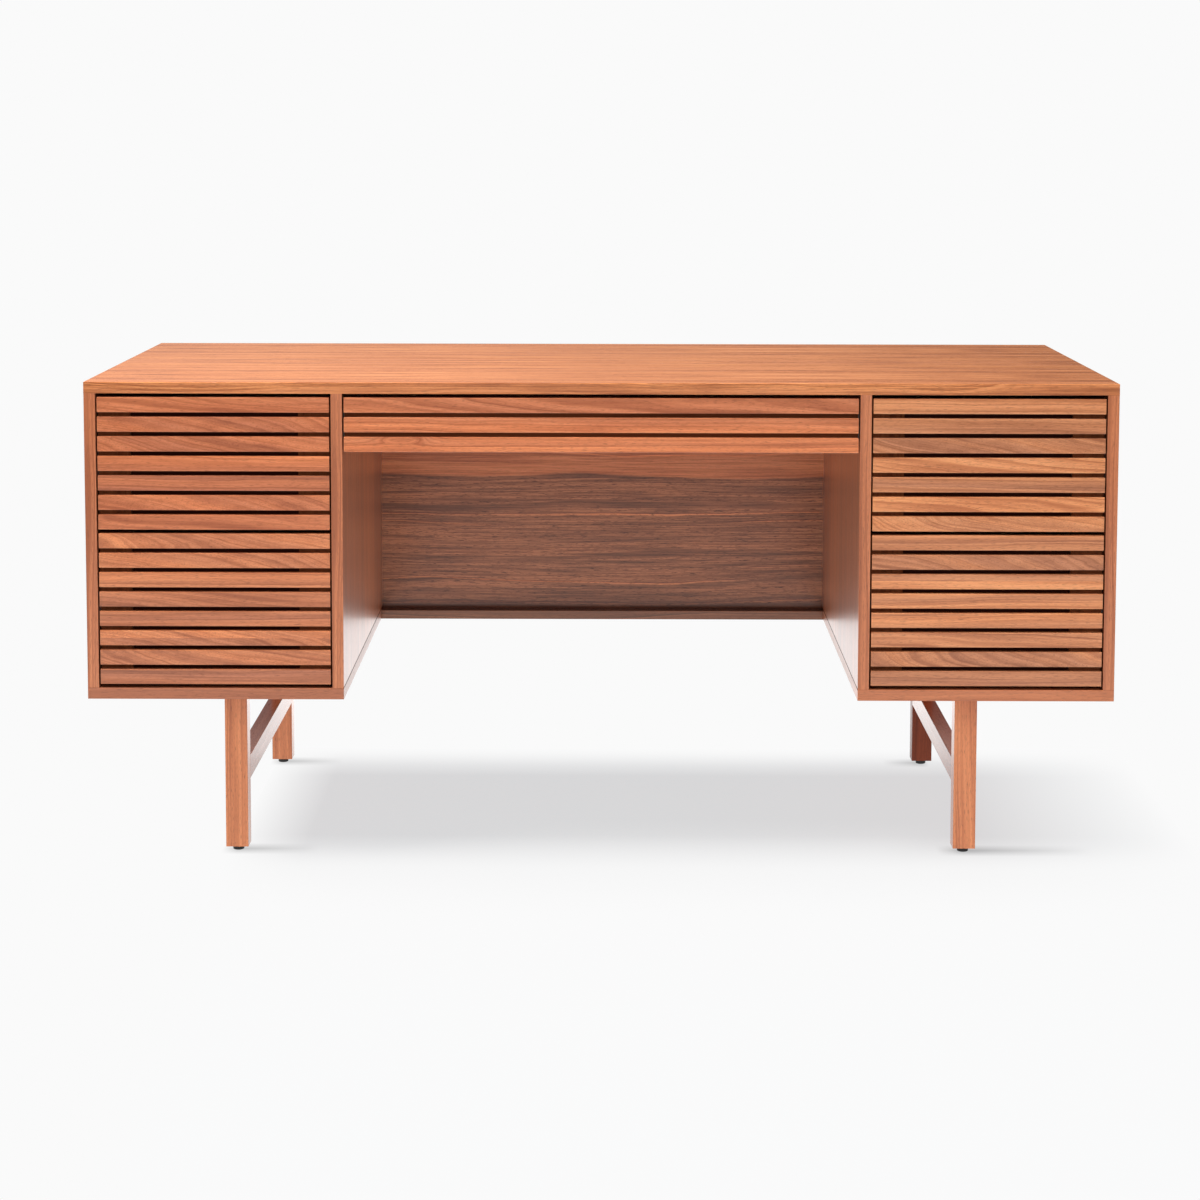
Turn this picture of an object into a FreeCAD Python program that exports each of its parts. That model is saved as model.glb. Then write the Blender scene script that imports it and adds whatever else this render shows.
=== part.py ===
import FreeCAD, Part
import os

# Slatted executive desk on legs: two drawer pedestals, a shallow centre drawer and a modesty panel.
# Millimetres. X runs to the sitter's right, Y from the front to the back, Z up.
# The origin is on the floor, under the middle of the desk.

# Overall sizes
desk_width = 1626.0
desk_depth = 762.0
desk_height = 766.0

# Case panels
pedestal_width = 406.0
top_thickness = 18.0
side_thickness = 18.0
bottom_thickness = 18.0
back_thickness = 12.0
modesty_thickness = 18.0
modesty_rail_depth = 45.0
modesty_rail_height = 16.0

# Legs, stretchers and foot glides
leg_height = 253.0
leg_width = 36.0
leg_end_inset = 209.0
leg_setback = 55.0
stretcher_width = 25.0
stretcher_height = 38.0
stretcher_rise = 104.0
glide_diameter = 18.0
glide_height = 8.0
glide_ease = 1.5
glide_stem_diameter = 5.0
glide_stem_length = 18.0

# Slatted fronts: the slats of each pedestal drawer, upper first, and of the centre drawer
pedestal_slat_counts = {"upper": 7, "lower": 8}
centre_slat_count = 3
slat_thickness = 12.0
slat_gap = 7.0
front_reveal = 6.0
side_reveal = 2.5
stile_width = 50.0
stile_thickness = 12.0
backing_thickness = 12.0

# Drawer boxes
box_rise = 12.0
box_drop = 14.0
box_wall = 12.0
box_bottom_thickness = 6.0
groove_depth = 5.0
groove_rise = 8.0
groove_play = 0.3

# Telescopic runners of folded sheet: a case member, a middle member and a drawer member.
# The pedestal runners are as long as the room behind the boxes allows.
pedestal_box_back_gap = 120.0
centre_runner_length = 450.0
runner_setback = 3.0
runner_height = 45.0
runner_sheet = 1.2
runner_lip = 3.5
runner_play = 0.3
runner_case_hook = 1.8
runner_drawer_hook = 4.3
runner_stand_off = 3.0

# Leg bolts and dowels
bolt_diameter = 8.0
bolt_head_diameter = 14.0
bolt_head_height = 5.0
bolt_engagement = 30.0
dowel_diameter = 8.0
dowel_face_depth = 9.0
dowel_edge_depth = 21.0
dowel_inset = 60.0
dowels_per_panel = 4
stretcher_dowel_shares = (0.27, 0.73)
fastener_play = 0.3
fastener_end_play = 0.5

# Rounding of the edges that hands touch
edge_ease = 0.8

# Places worked out from the sizes
x_end = desk_width / 2
y_front = -desk_depth / 2
y_back = desk_depth / 2
case_bottom_z = glide_height + leg_height
side_bottom_z = case_bottom_z + bottom_thickness
top_underside_z = desk_height - top_thickness
kneehole_x = x_end - pedestal_width
case_depth = (y_front, y_back)
x_axis = FreeCAD.Vector(1, 0, 0)
y_axis = FreeCAD.Vector(0, 1, 0)
z_axis = FreeCAD.Vector(0, 0, 1)

# The slats share the height that the reveals and gaps of one pedestal leave over
pedestal_slats = sum(pedestal_slat_counts.values())
pedestal_reveals = len(pedestal_slat_counts) + 1
pedestal_gaps = pedestal_slats - len(pedestal_slat_counts)
slat_room = top_underside_z - side_bottom_z - pedestal_reveals * front_reveal - pedestal_gaps * slat_gap
slat_height = slat_room / pedestal_slats
slat_pitch = slat_height + slat_gap

# Runner section, from the case face towards the drawer box
case_web = runner_sheet
middle_web_start = case_web + runner_play
middle_web_end = middle_web_start + runner_sheet
case_lip_start = middle_web_end + runner_case_hook + runner_play
case_reach = case_lip_start + runner_sheet
drawer_brim_start = middle_web_end + runner_play
drawer_brim_end = drawer_brim_start + runner_sheet
middle_lip_start = drawer_brim_end + runner_drawer_hook + runner_play
middle_reach = middle_lip_start + runner_sheet
runner_space = middle_reach + runner_stand_off
pedestal_box_front = y_front + slat_thickness + stile_thickness
pedestal_box_back = y_back - back_thickness - pedestal_box_back_gap
pedestal_runner_length = pedestal_box_back - pedestal_box_front - 2 * runner_setback

# Runner section, from its middle height up
case_half = runner_height / 2
case_inside = case_half - runner_sheet
case_lip_edge = case_inside - runner_lip
middle_half = case_inside - runner_play
middle_wall_outside = case_lip_edge - runner_play
middle_wall_inside = middle_wall_outside - runner_sheet
middle_lip_edge = middle_wall_inside - runner_lip
drawer_half = middle_wall_inside - runner_play
drawer_wall_outside = middle_lip_edge - runner_play
drawer_wall_inside = drawer_wall_outside - runner_sheet

os.makedirs("parts", exist_ok=True)


def save(node, solids):
    """Write one node: a single solid, or a group of separate solids."""
    shape = solids[0] if len(solids) == 1 else Part.makeCompound(solids)
    shape.exportStep(f"parts/{node}.step")


def block(x, y, z):
    """A box between the two places given for each axis."""
    corner = FreeCAD.Vector(min(x), min(y), min(z))
    return Part.makeBox(max(x) - min(x), max(y) - min(y), max(z) - min(z), corner)


def rod(diameter, start, direction, length):
    """A round rod from a start point."""
    return Part.makeCylinder(diameter / 2, length, start, direction)


def front_edges(solid):
    """The edges in a solid's front half."""
    return [edge for edge in solid.Edges if edge.BoundBox.YMax < solid.BoundBox.Center.y]


def upper_edges(solid):
    """The edges in a solid's upper half."""
    return [edge for edge in solid.Edges if edge.BoundBox.ZMin > solid.BoundBox.Center.z]


def along(edges, axis):
    """Those of the edges that run along an axis."""
    chosen = []
    for edge in edges:
        box = edge.BoundBox
        extent = FreeCAD.Vector(box.XLength, box.YLength, box.ZLength)
        if extent.dot(axis) > extent.Length / 2:
            chosen.append(edge)
    return chosen


def cut(solid, tools):
    """Take the tools away from a solid that stays in one piece."""
    return solid.cut(tools).Solids[0]


def spread(ends, inset, count):
    """Evenly spaced places between two ends, the outer ones inset."""
    first = min(ends) + inset
    step = (max(ends) - inset - first) / (count - 1)
    return [first + step * index for index in range(count)]


def front_height(slats):
    """Height of a front made of this many slats."""
    return slats * slat_height + (slats - 1) * slat_gap


# Dowels collect here while the case is laid out, with the holes that each panel needs
dowels = []
dowel_holes = {}


def dowel(joint, direction, edge_panel, face_panel):
    """One dowel through a butt joint: deep in the edge of one panel, shallow in the face of the other."""
    start = joint - direction * dowel_edge_depth
    length = dowel_edge_depth + dowel_face_depth
    dowels.append(rod(dowel_diameter, start, direction, length))
    hole_start = start - direction * fastener_end_play
    hole_diameter = dowel_diameter + 2 * fastener_play
    hole = rod(hole_diameter, hole_start, direction, length + 2 * fastener_end_play)
    for panel in (edge_panel, face_panel):
        dowel_holes.setdefault(panel, []).append(hole)


def make_top():
    """The top runs over the sides, flush with them all round."""
    top = block((-x_end, x_end), case_depth, (top_underside_z, desk_height))
    return {"desk_top": top.makeFillet(edge_ease, upper_edges(top))}


def make_pedestal(hand, sign):
    """Two sides standing on a bottom panel, closed by a back between them."""
    outer_x = (sign * x_end, sign * (x_end - side_thickness))
    inner_x = (sign * kneehole_x, sign * (kneehole_x + side_thickness))
    side_z = (side_bottom_z, top_underside_z)
    panels = {}
    for place, side_x in (("outer", outer_x), ("inner", inner_x)):
        node = f"{hand}_{place}_side"
        side = block(side_x, case_depth, side_z)
        panels[node] = side.makeFillet(edge_ease, along(front_edges(side), z_axis))
        middle_x = sum(side_x) / 2
        for y in spread(case_depth, dowel_inset, dowels_per_panel):
            dowel(FreeCAD.Vector(middle_x, y, top_underside_z), z_axis, node, "desk_top")
            dowel(FreeCAD.Vector(middle_x, y, side_bottom_z), -z_axis, node, f"{hand}_bottom_panel")
    bottom_x = (sign * kneehole_x, sign * x_end)
    bottom = block(bottom_x, case_depth, (case_bottom_z, side_bottom_z))
    panels[f"{hand}_bottom_panel"] = bottom.makeFillet(edge_ease, front_edges(bottom))
    back_x = (outer_x[1], inner_x[1])
    panels[f"{hand}_back_panel"] = block(back_x, (y_back - back_thickness, y_back), side_z)
    return panels


def make_modesty():
    """The modesty panel closes the back of the kneehole and stands on a deeper rail."""
    span = (-kneehole_x, kneehole_x)
    rail_top_z = case_bottom_z + modesty_rail_height
    panel_z = (rail_top_z, top_underside_z)
    panel_y = (y_back - modesty_thickness, y_back)
    middle_y = sum(panel_y) / 2
    for x in spread(span, dowel_inset, dowels_per_panel):
        dowel(FreeCAD.Vector(x, middle_y, rail_top_z), -z_axis, "modesty_panel", "modesty_rail")
    for hand, sign in (("left", -1), ("right", 1)):
        for z in spread(panel_z, dowel_inset, dowels_per_panel):
            joint = FreeCAD.Vector(sign * kneehole_x, middle_y, z)
            dowel(joint, x_axis * sign, "modesty_panel", f"{hand}_inner_side")
    rail = block(span, (y_back - modesty_rail_depth, y_back), (case_bottom_z, rail_top_z))
    return {
        "modesty_panel": block(span, panel_y, panel_z),
        "modesty_rail": rail.makeFillet(edge_ease, along(front_edges(rail), x_axis)),
    }


def leg_centre(sign, end):
    """Middle of a leg in plan: sign -1 is left, end -1 is the front."""
    x = sign * (x_end - leg_end_inset - leg_width / 2)
    y = end * (y_back - leg_setback - leg_width / 2)
    return x, y


def make_legs():
    """Square legs, each with a hole for its bolt above and for its glide's stem below."""
    legs = {}
    for end_name, end in (("front", -1), ("rear", 1)):
        for hand, sign in (("left", -1), ("right", 1)):
            x, y = leg_centre(sign, end)
            half = leg_width / 2
            leg = block((x - half, x + half), (y - half, y + half), (glide_height, case_bottom_z))
            leg = leg.makeFillet(edge_ease, along(leg.Edges, z_axis))
            bolt_hole_depth = bolt_engagement + fastener_end_play
            bolt_hole_start = FreeCAD.Vector(x, y, case_bottom_z - bolt_hole_depth)
            bolt_hole_diameter = bolt_diameter + 2 * fastener_play
            bolt_hole = rod(bolt_hole_diameter, bolt_hole_start, z_axis, bolt_hole_depth)
            stem_hole_diameter = glide_stem_diameter + 2 * fastener_play
            stem_hole_depth = glide_stem_length + fastener_end_play
            stem_hole_start = FreeCAD.Vector(x, y, glide_height)
            stem_hole = rod(stem_hole_diameter, stem_hole_start, z_axis, stem_hole_depth)
            legs[f"{end_name}_{hand}_leg"] = cut(leg, [bolt_hole, stem_hole])
    return legs


def make_stretchers():
    """One rail per side, between the front and the rear leg and flush with their inner faces."""
    rails = {}
    low_z = glide_height + stretcher_rise
    rail_z = (low_z, low_z + stretcher_height)
    for hand, sign in (("left", -1), ("right", 1)):
        x, rear_y = leg_centre(sign, 1)
        inner_x = x - sign * leg_width / 2
        rail_x = (inner_x, inner_x + sign * stretcher_width)
        rail_end = rear_y - leg_width / 2
        node = f"{hand}_stretcher"
        rail = block(rail_x, (-rail_end, rail_end), rail_z)
        rails[node] = rail.makeFillet(edge_ease, along(rail.Edges, y_axis))
        for end_name, end in (("front", -1), ("rear", 1)):
            for share in stretcher_dowel_shares:
                joint = FreeCAD.Vector(sum(rail_x) / 2, end * rail_end, low_z + share * stretcher_height)
                dowel(joint, y_axis * end, node, f"{end_name}_{hand}_leg")
    return rails


def make_glide(x, y):
    """A round foot with an eased rim and a stem that is pushed into the leg."""
    foot = rod(glide_diameter, FreeCAD.Vector(x, y, 0), z_axis, glide_height)
    rim = [edge for edge in foot.Edges if edge.BoundBox.ZMax < foot.BoundBox.Center.z]
    foot = foot.makeFillet(glide_ease, rim)
    stem = rod(glide_stem_diameter, FreeCAD.Vector(x, y, glide_height), z_axis, glide_stem_length)
    return foot.fuse(stem).removeSplitter().Solids[0]


def make_leg_bolt(x, y):
    """A bolt with its head sunk flush in the bottom panel and its shank in the leg."""
    head_z = side_bottom_z - bolt_head_height
    head = rod(bolt_head_diameter, FreeCAD.Vector(x, y, head_z), z_axis, bolt_head_height)
    shank_z = case_bottom_z - bolt_engagement
    shank = rod(bolt_diameter, FreeCAD.Vector(x, y, shank_z), z_axis, head_z - shank_z)
    return head.fuse(shank).removeSplitter().Solids[0]


def leg_bolt_holes(x, y):
    """The counterbored hole that a leg bolt needs in a bottom panel."""
    head_z = side_bottom_z - bolt_head_height
    play = 2 * fastener_play
    counterbore = rod(bolt_head_diameter + play, FreeCAD.Vector(x, y, head_z), z_axis, bolt_head_height)
    hole = rod(bolt_diameter + play, FreeCAD.Vector(x, y, case_bottom_z), z_axis, bottom_thickness)
    return [counterbore, hole]


def fold(face_x, sign, y, middle_z, plates):
    """Fold a runner member from plates of two depths and two heights, mirrored about its middle."""
    pieces = []
    for depth_from, depth_to, height_from, height_to in plates:
        x = (face_x + sign * depth_from, face_x + sign * depth_to)
        for side in (-1, 1):
            z = (middle_z + side * height_from, middle_z + side * height_to)
            pieces.append(block(x, y, z))
    return pieces[0].fuse(pieces[1:]).removeSplitter().Solids[0]


def make_runner(face_x, sign, y, middle_z):
    """The three nested members of one runner, from the case face towards the drawer."""
    case_member = fold(face_x, sign, y, middle_z, [
        (0, case_web, 0, case_half),
        (case_web, case_reach, case_inside, case_half),
        (case_lip_start, case_reach, case_lip_edge, case_inside),
    ])
    middle_member = fold(face_x, sign, y, middle_z, [
        (middle_web_start, middle_web_end, 0, middle_half),
        (middle_web_end, middle_web_end + runner_case_hook, middle_half - runner_sheet, middle_half),
        (middle_web_end, middle_reach, middle_wall_inside, middle_wall_outside),
        (middle_lip_start, middle_reach, middle_lip_edge, middle_wall_inside),
    ])
    drawer_member = fold(face_x, sign, y, middle_z, [
        (drawer_brim_start, drawer_brim_end, drawer_wall_inside, drawer_half),
        (drawer_brim_end, drawer_brim_end + runner_drawer_hook, drawer_half - runner_sheet, drawer_half),
        (drawer_brim_end, runner_space, drawer_wall_inside, drawer_wall_outside),
        (runner_space - runner_sheet, runner_space, 0, drawer_wall_inside),
    ])
    return case_member, middle_member, drawer_member


def make_slats(front_x, front_top, count):
    """Horizontal slats, the first at the top, eased round their front faces."""
    slats = []
    for index in range(count):
        slat_top = front_top - index * slat_pitch
        slat_y = (y_front, y_front + slat_thickness)
        slat = block(front_x, slat_y, (slat_top - slat_height, slat_top))
        slats.append(slat.makeFillet(edge_ease, front_edges(slat)))
    return slats


def make_drawer(name, bay_x, front_top, slat_count, length, has_stiles):
    """Write one drawer's nodes and return the case members of its two runners.

    A drawer with stiles has its slats on two uprights and a whole box behind them.
    One without has a full backing panel, which is the front of its box as well.
    """
    front_x = (bay_x[0] + side_reveal, bay_x[1] - side_reveal)
    front_z = (front_top - front_height(slat_count), front_top)
    carrier_front = y_front + slat_thickness
    box_front = carrier_front + (stile_thickness if has_stiles else backing_thickness)
    box_back = box_front + length + 2 * runner_setback
    box_x = (bay_x[0] + runner_space, bay_x[1] - runner_space)
    box_z = (front_z[0] + box_rise, front_z[1] - box_drop)
    end_x = (box_x[0] + box_wall, box_x[1] - box_wall)
    save(f"{name}_slats", make_slats(front_x, front_top, slat_count))

    # The box bottom lies in a groove, with play above it and at its edges
    bottom_z = box_z[0] + groove_rise
    reach = groove_depth - groove_play
    inside_y = (box_front + box_wall if has_stiles else box_front, box_back - box_wall)
    bottom_y = (inside_y[0] - reach, inside_y[1] + reach)
    bottom_x = (end_x[0] - reach, end_x[1] + reach)
    groove_x = (end_x[0] - groove_depth, end_x[1] + groove_depth)
    groove_y = (inside_y[0] - groove_depth, inside_y[1] + groove_depth)
    groove = block(groove_x, groove_y, (bottom_z, bottom_z + box_bottom_thickness + groove_play))
    save(f"{name}_box_bottom", [block(bottom_x, bottom_y, (bottom_z, bottom_z + box_bottom_thickness))])

    sides = [block((box_x[0], end_x[0]), (box_front, box_back), box_z)]
    sides.append(block((end_x[1], box_x[1]), (box_front, box_back), box_z))
    save(f"{name}_box_sides", [cut(side, [groove]) for side in sides])
    back = cut(block(end_x, (inside_y[1], box_back), box_z), [groove])
    carrier_y = (carrier_front, box_front)
    if has_stiles:
        front = cut(block(end_x, (box_front, inside_y[0]), box_z), [groove])
        save(f"{name}_box_ends", [front, back])
        left_stile = block((front_x[0], front_x[0] + stile_width), carrier_y, front_z)
        right_stile = block((front_x[1] - stile_width, front_x[1]), carrier_y, front_z)
        save(f"{name}_stiles", [left_stile, right_stile])
    else:
        save(f"{name}_box_back", [back])
        save(f"{name}_front_panel", [cut(block(front_x, carrier_y, front_z), [groove])])

    runner_y = (box_front + runner_setback, box_front + runner_setback + length)
    runner_z = sum(box_z) / 2
    left_runner = make_runner(bay_x[0], 1, runner_y, runner_z)
    right_runner = make_runner(bay_x[1], -1, runner_y, runner_z)
    save(f"{name}_middle_runners", [left_runner[1], right_runner[1]])
    save(f"{name}_runners", [left_runner[2], right_runner[2]])
    return [left_runner[0], right_runner[0]]


# Case, legs and the fasteners between them
case = make_top()
for hand, sign in (("left", -1), ("right", 1)):
    case.update(make_pedestal(hand, sign))
case.update(make_modesty())
case.update(make_legs())
case.update(make_stretchers())
for panel, holes in dowel_holes.items():
    case[panel] = cut(case[panel], holes)
leg_bolts = []
foot_glides = []
for hand, sign in (("left", -1), ("right", 1)):
    for end in (-1, 1):
        x, y = leg_centre(sign, end)
        leg_bolts.append(make_leg_bolt(x, y))
        foot_glides.append(make_glide(x, y))
        case[f"{hand}_bottom_panel"] = cut(case[f"{hand}_bottom_panel"], leg_bolt_holes(x, y))
for node, solid in case.items():
    save(node, [solid])
save("dowels", dowels)
save("leg_bolts", leg_bolts)
save("foot_glides", foot_glides)

# Drawers: two in each pedestal, from the top down, and one over the kneehole
first_front_top = top_underside_z - front_reveal
bay_inner = kneehole_x + side_thickness
bay_outer = x_end - side_thickness
for hand, bay_x in (("left", (-bay_outer, -bay_inner)), ("right", (bay_inner, bay_outer))):
    case_members = []
    front_top = first_front_top
    for level, slat_count in pedestal_slat_counts.items():
        drawer = f"{hand}_{level}_drawer"
        case_members += make_drawer(drawer, bay_x, front_top, slat_count, pedestal_runner_length, True)
        front_top -= front_height(slat_count) + front_reveal
    save(f"{hand}_pedestal_runners", case_members)
bay_x = (-kneehole_x, kneehole_x)
case_members = make_drawer(
    "centre_drawer", bay_x, first_front_top, centre_slat_count, centre_runner_length, False
)
save("kneehole_runners", case_members)

print("slat height", slat_height, "runner space", runner_space)
print("pedestal runner length", pedestal_runner_length, "case bottom", case_bottom_z)
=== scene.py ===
# %% [markdown]
# # A walnut desk with slatted drawer fronts
#
# The desk is a wide top over two drawer pedestals, with a shallow drawer and an open kneehole between
# them. Every piece of it is already there as a solid, in metres, in one frame. This lesson dresses those
# solids: it gives the boards their grain and lacquer, makes the slats of the drawer fronts as real strips
# of wood, and sets the desk in a pale studio.

# %% Load the solids
import math

import bpy
from mathutils import Matrix, Vector


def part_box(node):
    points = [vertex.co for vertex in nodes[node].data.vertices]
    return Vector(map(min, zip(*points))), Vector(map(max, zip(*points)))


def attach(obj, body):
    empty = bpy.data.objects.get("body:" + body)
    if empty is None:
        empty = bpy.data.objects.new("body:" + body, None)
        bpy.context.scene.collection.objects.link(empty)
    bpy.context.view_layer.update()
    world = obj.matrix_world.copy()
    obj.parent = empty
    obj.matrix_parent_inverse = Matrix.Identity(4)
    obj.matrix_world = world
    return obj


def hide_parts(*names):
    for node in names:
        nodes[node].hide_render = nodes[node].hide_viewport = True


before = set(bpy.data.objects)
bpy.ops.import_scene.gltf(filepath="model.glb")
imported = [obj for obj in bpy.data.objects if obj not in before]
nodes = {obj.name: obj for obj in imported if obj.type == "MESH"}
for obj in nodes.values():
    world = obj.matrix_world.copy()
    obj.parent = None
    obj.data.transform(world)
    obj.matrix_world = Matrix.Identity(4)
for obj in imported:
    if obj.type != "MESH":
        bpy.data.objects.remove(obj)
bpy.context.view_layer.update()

# %% [markdown]
# ## The camera
#
# The desk is seen from the front, nearly in the middle and a little above its top, with a long lens. A
# studio camera with a falling front keeps the uprights nearly parallel. The camera here does the same with
# a vertical shift, so it looks down less than it would have to without one. The shift is kept small, because
# views from other sides have it too.

# %% Camera
camera_place = Vector((0.0158, -4.7278, 1.1785))
camera_pitch = math.radians(5.41)
camera_yaw = math.radians(-0.233)
camera_roll = math.radians(0.107)


def put(name, data):
    """Puts an object into the scene."""
    thing = bpy.data.objects.new(name, data)
    bpy.context.scene.collection.objects.link(thing)
    return thing


forward = Vector((
    math.sin(camera_yaw) * math.cos(camera_pitch),
    math.cos(camera_yaw) * math.cos(camera_pitch),
    -math.sin(camera_pitch),
))
level_right = Vector((math.cos(camera_yaw), -math.sin(camera_yaw), 0.0))
level_up = level_right.cross(forward)
camera_right = level_right * math.cos(camera_roll) + level_up * math.sin(camera_roll)
camera_up = level_up * math.cos(camera_roll) - level_right * math.sin(camera_roll)

lens = bpy.data.cameras.new("studio_camera")
lens.sensor_width = 36.0
lens.lens = 83.55
lens.shift_y = -0.1813
camera = put("studio_camera", lens)
camera_turn = Matrix((camera_right, camera_up, -forward)).transposed().to_4x4()
camera.matrix_world = Matrix.Translation(camera_place) @ camera_turn
bpy.context.scene.camera = camera
print("camera at", tuple(round(value, 3) for value in camera_place), "lens", lens.lens)

# %% [markdown]
# ## Writing node trees as formulas
#
# Materials, the sky and the slats are all node trees. A tree that is clicked together can't be repeated, so
# a few small helpers write them instead: one adds a node and fills its inputs from plain values or from
# other nodes' outputs, and the others are the sums that every material needs.

# %% Nodes and sums
def add_node(tree, kind, values=None, **options):
    """Adds a node. values fills its inputs from plain values or from other nodes' outputs."""
    node = tree.nodes.new(kind)
    for option, setting in options.items():
        setattr(node, option, setting)
    for key, value in (values or {}).items():
        socket = node.inputs[key]
        if isinstance(value, bpy.types.NodeSocket):
            tree.links.new(value, socket)
        elif socket.type == "RGBA":
            socket.default_value = (*value, 1.0)
        else:
            socket.default_value = value
    return node


def calc(tree, operation, first, second=0.0, third=0.0):
    """One sum on numbers."""
    values = {0: first, 1: second, 2: third}
    return add_node(tree, "ShaderNodeMath", values, operation=operation).outputs[0]


def calc_vector(tree, operation, first, second=(0, 0, 0)):
    """One sum on vectors."""
    return add_node(tree, "ShaderNodeVectorMath", {0: first, 1: second}, operation=operation).outputs[0]


def split(tree, vector):
    """The three parts of a vector."""
    return add_node(tree, "ShaderNodeSeparateXYZ", {0: vector}).outputs


def join(tree, x, y, z):
    """A vector of three numbers."""
    return add_node(tree, "ShaderNodeCombineXYZ", {0: x, 1: y, 2: z}).outputs[0]


print("nodes and sums ready")

# %% [markdown]
# The next helpers are what a finish is built of: a value moved to another range, two colours mixed, and a
# ramp of colours.

# %% Ranges and mixes
def spread(tree, value, low, high, to_low=0.0, to_high=1.0):
    """Moves a value from one range to another, and stops at the ends."""
    values = {"Value": value, "From Min": low, "From Max": high, "To Min": to_low, "To Max": to_high}
    return add_node(tree, "ShaderNodeMapRange", values).outputs["Result"]


def mix_colour(tree, share, first, second):
    """Mixes two colours by a share; past 0 or 1 it goes on the same way."""
    values = {0: share, 6: first, 7: second}
    return add_node(tree, "ShaderNodeMix", values, data_type="RGBA", clamp_factor=False).outputs[2]


def colour_steps(tree, value, steps):
    """A colour ramp; steps are (place, colour) pairs."""
    node = add_node(tree, "ShaderNodeValToRGB", {0: value})
    ramp = node.color_ramp
    while len(ramp.elements) < len(steps):
        ramp.elements.new(0.5)
    for element, (place, colour) in zip(ramp.elements, steps):
        element.position = place
        element.color = (*colour, 1.0)
    return node.outputs["Color"]


print("ranges and mixes ready")

# %% [markdown]
# Without noise a finish looks painted on. Soft noise hardly reaches 0 or 1. Nearly all of it lies in one
# narrow range, so where a mask is needed it is spread from there.

# %% Noise
noise_range = (0.3, 0.7)


def noise(tree, place, detail=2.0, scale=1.0):
    """Soft noise at a place: a number and a colour."""
    values = {"Vector": place, "Scale": scale, "Detail": detail}
    return add_node(tree, "ShaderNodeTexNoise", values).outputs


def noise_line(tree, place, detail=1.0):
    """The same along one number."""
    values = {"W": place, "Scale": 1.0, "Detail": detail}
    return add_node(tree, "ShaderNodeTexNoise", values, noise_dimensions="1D").outputs[0]


def chance(tree, number):
    """A number from 0 to 1 that looks random, and is the same each time for the same number."""
    return add_node(tree, "ShaderNodeTexWhiteNoise", {"W": number}, noise_dimensions="1D").outputs[0]


print("noise ready, most of it between", *noise_range)

# %% [markdown]
# ## A tree to cut boards from
#
# Wood grain isn't a picture on a board. It is what a saw shows of the rings inside a trunk, so the lines on
# a board's face and on its edge belong together. The trunk here is rings round a heart that runs along X,
# pushed about by slow noise so that they wander as they do in a real tree. A board is cut out of it by
# choosing where the heart lies. With the heart beside the board its face shows straight lines, with the
# heart behind it, tall flames, and with the heart at a slant, smoky bands across. A knot pushes the rings
# aside.

# %% Rings round the heart
wander_rates = (1.5, 9.0, 9.0)
ripple_rates = (9.0, 60.0, 60.0)
ripple_share = 0.11
uneven_rate = 0.23
uneven_years = 4.0


def count_rings(group, given):
    """How far a place in the trunk is from the heart, in metres and in years of growth."""
    _, across, depth = split(group, given["Along"])
    wander = split(group, noise(group, calc_vector(group, "MULTIPLY", given["Along"], wander_rates))[1])
    ripple = split(group, noise(group, calc_vector(group, "MULTIPLY", given["Along"], ripple_rates))[1])
    squares = []
    for axis, place in ((0, across), (1, depth)):
        push = calc(group, "MULTIPLY_ADD", ripple[axis], ripple_share, wander[axis])
        push = calc(group, "MULTIPLY_ADD", push, 2.0, -1.0 - ripple_share)
        moved = calc(group, "MULTIPLY_ADD", push, given["Sway"], place)
        squares.append(calc(group, "MULTIPLY", moved, moved))
    radius = calc(group, "SQRT", calc(group, "ADD", *squares))
    years = calc(group, "DIVIDE", radius, given["Ring width"])
    uneven = noise_line(group, calc(group, "MULTIPLY", years, uneven_rate))
    years = calc(group, "MULTIPLY_ADD", uneven, uneven_years, years)
    return radius, calc(group, "ADD", years, given["Knot"])


print("rings ready")

# %% [markdown]
# Each year leaves a dark line where its growth stopped, in some years a fainter one. Finer lines run along
# with the rings, the tone changes slowly over a few years, and here and there the wood of one year is pale.
# All the woods need these marks, so they are a node group, which is built once and placed in each wood with
# that wood's own values.

# %% Node groups
def new_group(name, inputs, outputs):
    """Starts a shader node group. inputs are (name, kind, value), and outputs are (name, kind)."""
    group = bpy.data.node_groups.new(name, "ShaderNodeTree")
    for label, kind, value in inputs:
        socket = group.interface.new_socket(label, in_out="INPUT", socket_type="NodeSocket" + kind)
        socket.default_value = value
    for label, kind in outputs:
        group.interface.new_socket(label, in_out="OUTPUT", socket_type="NodeSocket" + kind)
    return group, group.nodes.new("NodeGroupInput").outputs, group.nodes.new("NodeGroupOutput").inputs


print("node groups ready")

# %% Growth rings
ring_greys = [(0.0, 0.1), (0.5, 0.3), (0.86, 1.0), (1.0, 0.1)]
faintest_ring = 0.3
line_rate = 3.0
band_rate = 0.16
pale_luck = 0.84
pale_rates = (1.6, 7.3)
pale_shows = (0.42, 0.58)
pale_middle = 0.4
pale_width = (0.35, 0.1)


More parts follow.
